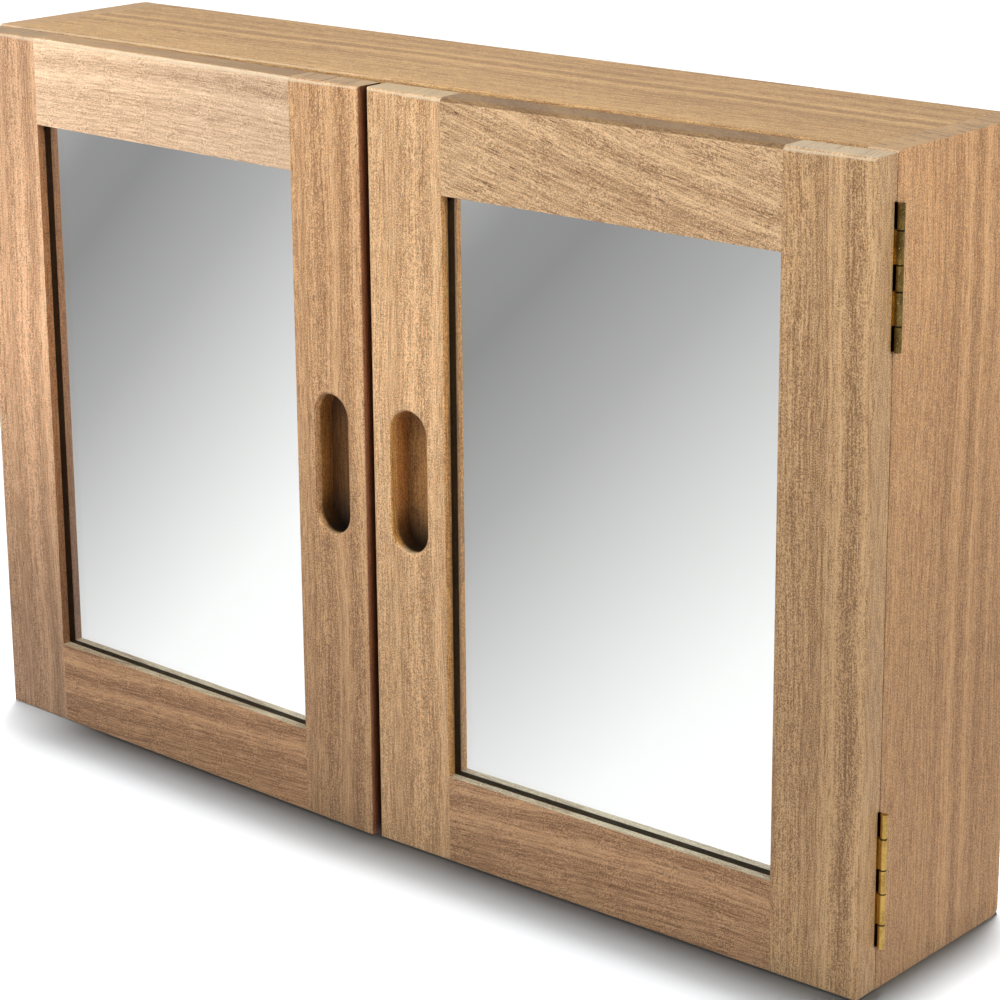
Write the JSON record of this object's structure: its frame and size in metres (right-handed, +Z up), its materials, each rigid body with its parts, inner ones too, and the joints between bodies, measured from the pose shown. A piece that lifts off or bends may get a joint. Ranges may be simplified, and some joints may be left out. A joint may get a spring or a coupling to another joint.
{
  "type": "mirrored medicine cabinet",
  "caption": "Shallow wooden wall cabinet with hinged mirror doors, finger recesses in the meeting stiles, brass butt hinges and adjustable shelves.",
  "frame": {"origin": "centre of the cabinet's outline at its underside, with the doors standing slightly open as they rest", "axes": "+X to the right as seen from the front, along the width; +Y to the wall behind; +Z up"},
  "size_m": [0.6706, 0.1456, 0.44],
  "materials": {
    "warm_wood": "oiled",
    "light_wood": "oiled",
    "plywood": "unfinished",
    "dowel_wood": "unfinished",
    "mirror": "polished",
    "brass": "lacquered",
    "steel": "zinc plated",
    "magnet": "matt",
    "housing": "satin"
  },
  "bodies": {
    "cabinet": {"left_side": "warm_wood", "right_side": "warm_wood", "top_panel": "light_wood", "bottom_panel": "light_wood", "back_panel": "plywood", "hanging_rail": "light_wood", "case_dowels": "dowel_wood", "back_brads": "steel", "upper_shelf": "light_wood", "lower_shelf": "light_wood", "upper_shelf_pins": "brass", "lower_shelf_pins": "brass", "left_catch_housing": "housing", "left_catch_magnet": "magnet", "left_catch_poles": "steel", "right_catch_housing": "housing", "right_catch_magnet": "magnet", "right_catch_poles": "steel", "catch_screws": "brass", "case_hinge_screws": "brass", "left_upper_hinge_case_leaf": "brass", "left_upper_hinge_pin": "brass", "left_lower_hinge_case_leaf": "brass", "left_lower_hinge_pin": "brass", "right_upper_hinge_case_leaf": "brass", "right_upper_hinge_pin": "brass", "right_lower_hinge_case_leaf": "brass", "right_lower_hinge_pin": "brass"},
    "left_door": {"left_door_outer_stile": "warm_wood", "left_door_meeting_stile": "warm_wood", "left_door_top_rail": "light_wood", "left_door_bottom_rail": "light_wood", "left_door_mirror": "mirror", "left_door_backing": "plywood", "left_door_beads": "light_wood", "left_door_bead_brads": "steel", "left_door_strike_plate": "steel", "left_door_strike_screw": "brass", "left_upper_hinge_door_leaf": "brass", "left_lower_hinge_door_leaf": "brass", "left_door_hinge_screws": "brass"},
    "right_door": {"right_door_outer_stile": "warm_wood", "right_door_meeting_stile": "warm_wood", "right_door_top_rail": "light_wood", "right_door_bottom_rail": "light_wood", "right_door_mirror": "mirror", "right_door_backing": "plywood", "right_door_beads": "light_wood", "right_door_bead_brads": "steel", "right_door_strike_plate": "steel", "right_door_strike_screw": "brass", "right_upper_hinge_door_leaf": "brass", "right_lower_hinge_door_leaf": "brass", "right_door_hinge_screws": "brass"}
  },
  "joints": [
    {"name": "left_door_swing", "type": "hinge", "parent": "cabinet", "child": "left_door", "pos_m": [-0.3334, -0.04826, 0.22], "axis": [0, 0, -1], "range_deg": [-1.25, 178.75]},
    {"name": "right_door_swing", "type": "hinge", "parent": "cabinet", "child": "right_door", "pos_m": [0.3334, -0.04826, 0.22], "axis": [0, 0, 1], "range_deg": [-0.95, 179.05]}
  ]
}
